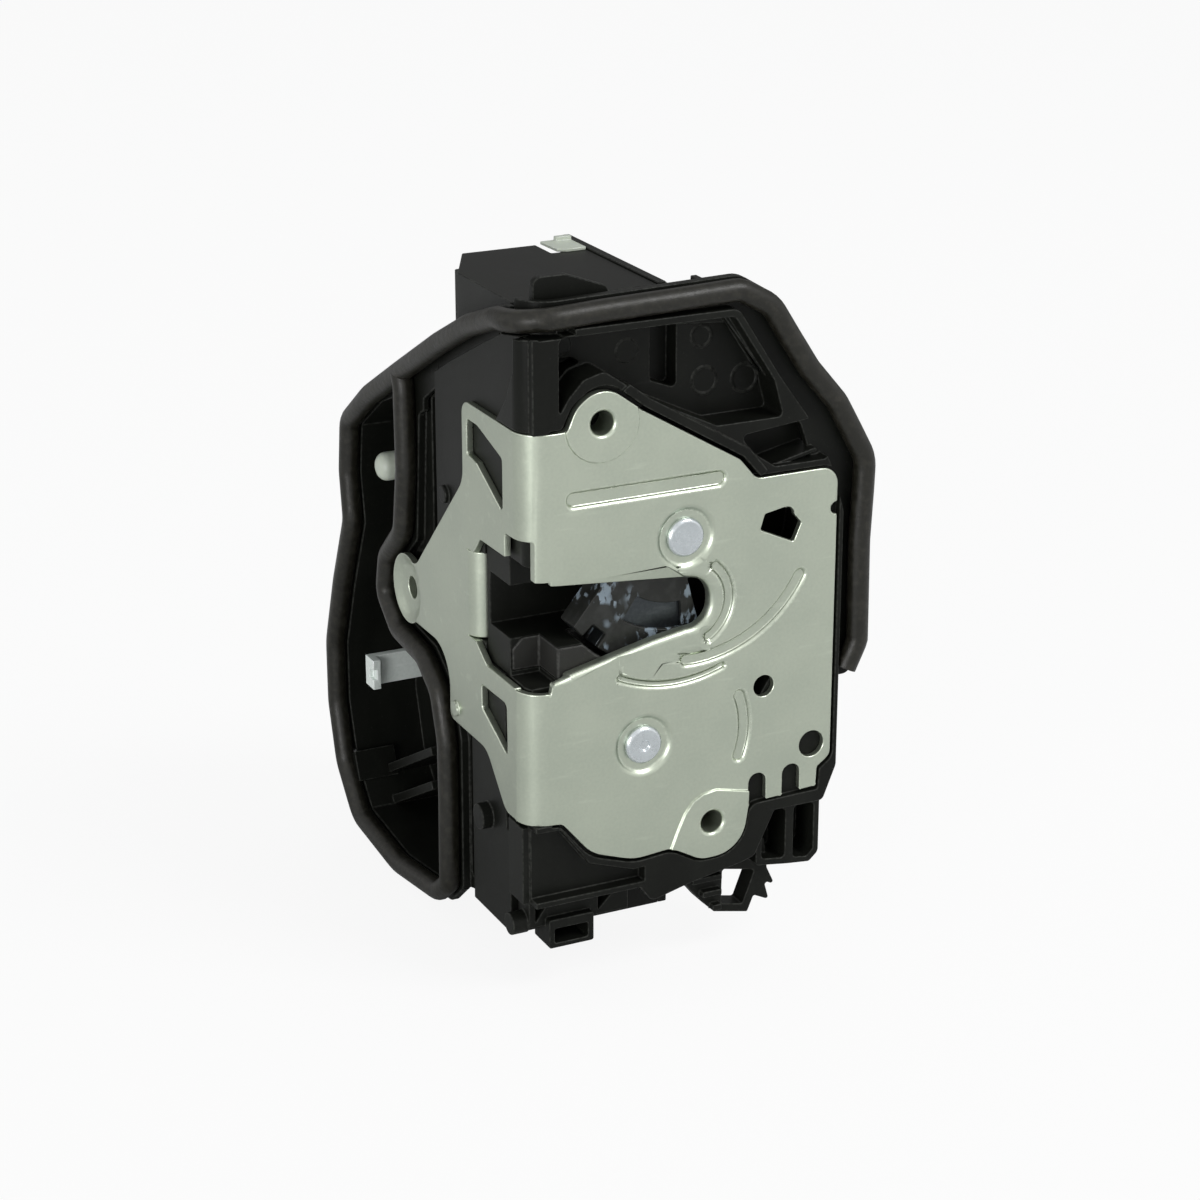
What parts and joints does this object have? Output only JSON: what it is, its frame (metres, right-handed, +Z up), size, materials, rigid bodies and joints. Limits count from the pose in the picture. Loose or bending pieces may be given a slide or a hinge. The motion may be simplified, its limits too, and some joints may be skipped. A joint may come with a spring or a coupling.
{
  "type": "door latch actuator",
  "caption": "Powered side-door latch for a car: bent zinc plate, rotary catch and pawl, black housing with sealing bead, lock motor and release levers.",
  "frame": {"origin": "centre of the upper screw hole at the outer face of the lock plate", "axes": "+X to the right along the plate face, +Y rearwards into the door, +Z up"},
  "size_m": [0.0876, 0.1191, 0.1636],
  "materials": {
    "zinc_steel": "zinc plated, satin",
    "rivet_steel": "bright zinc plated",
    "catch_steel": "ground steel",
    "jacket_plastic": "dark moulding with grease",
    "spring_steel": "spring wire",
    "black_plastic": "fine grained moulding",
    "screw_steel": "zinc plated",
    "seal_rubber": "soft sealing cord",
    "guide_plastic": "low friction moulding",
    "zinc_lever": "bright zinc plated",
    "pale_nylon": "natural nylon",
    "motor_can": "drawn can",
    "brass_worm": "machined",
    "switch_plastic": "moulded",
    "pin_tin": "tin plated"
  },
  "bodies": {
    "latch_body": {"lock_plate": "zinc_steel", "back_plate": "zinc_steel", "catch_pivot": "rivet_steel", "pawl_pivot": "rivet_steel", "catch_spring": "spring_steel", "pawl_spring": "spring_steel", "latch_frame": "black_plastic", "actuator_case": "black_plastic", "case_cover": "black_plastic", "cover_screws": "screw_steel", "seal_bead": "seal_rubber", "striker_guide": "guide_plastic", "striker_buffer": "seal_rubber", "lever_pivots": "screw_steel", "wheel_axle": "screw_steel", "dc_motor": "motor_can", "catch_switch": "switch_plastic", "pawl_switch": "switch_plastic", "terminals": "pin_tin", "corner_cap": "pale_nylon"},
    "catch": {"rotary_catch": "catch_steel", "catch_jacket": "jacket_plastic"},
    "pawl": {"pawl": "catch_steel", "pawl_jacket": "jacket_plastic"},
    "outer_lever": {"outer_release_lever": "zinc_lever"},
    "inner_lever": {"inner_release_lever": "zinc_lever"},
    "lock_lever": {"lock_lever": "pale_nylon"},
    "wheel": {"worm_wheel": "pale_nylon"},
    "worm": {"motor_worm": "brass_worm"}
  },
  "joints": [
    {"name": "catch_turn", "type": "hinge", "parent": "latch_body", "child": "catch", "pos_m": [0.0202, 0.0087, -0.0284], "axis": [0, -1, 0], "range_deg": [0, 80], "stiffness_Nm_per_rad": 0.06, "springref_deg": -28.65},
    {"name": "pawl_turn", "type": "hinge", "parent": "latch_body", "child": "pawl", "pos_m": [0.0103, 0.0087, -0.075], "axis": [0, 1, 0], "range_deg": [-5.5, 4], "stiffness_Nm_per_rad": 0.06},
    {"name": "outer_release", "type": "hinge", "parent": "latch_body", "child": "outer_lever", "pos_m": [0.016, 0.092, -0.108], "axis": [1, 0, 0], "range_deg": [0, 12], "stiffness_Nm_per_rad": 0.03, "springref_deg": -17.19},
    {"name": "inner_release", "type": "hinge", "parent": "latch_body", "child": "inner_lever", "pos_m": [0.0186, 0.052, -0.116], "axis": [-1, 0, 0], "range_deg": [0, 25], "stiffness_Nm_per_rad": 0.03, "springref_deg": -17.19},
    {"name": "lock_turn", "type": "hinge", "parent": "latch_body", "child": "lock_lever", "pos_m": [0.0125, 0.08084, -0.05217], "axis": [1, 0, 0], "range_deg": [0, 25]},
    {"name": "wheel_turn", "type": "hinge", "parent": "latch_body", "child": "wheel", "pos_m": [0.0105, 0.058, -0.042], "axis": [1, 0, 0], "range_deg": [-100.5, 0.5]},
    {"name": "worm_turn", "type": "hinge", "parent": "latch_body", "child": "worm", "pos_m": [0.0085, 0.0405, -0.042], "axis": [0, 0, 1], "range_deg": [-2801, 1]}
  ],
  "couplings": [
    {"joint": "wheel_turn", "follows": "lock_turn", "ratio": -4},
    {"joint": "worm_turn", "follows": "lock_turn", "ratio": -112}
  ]
}
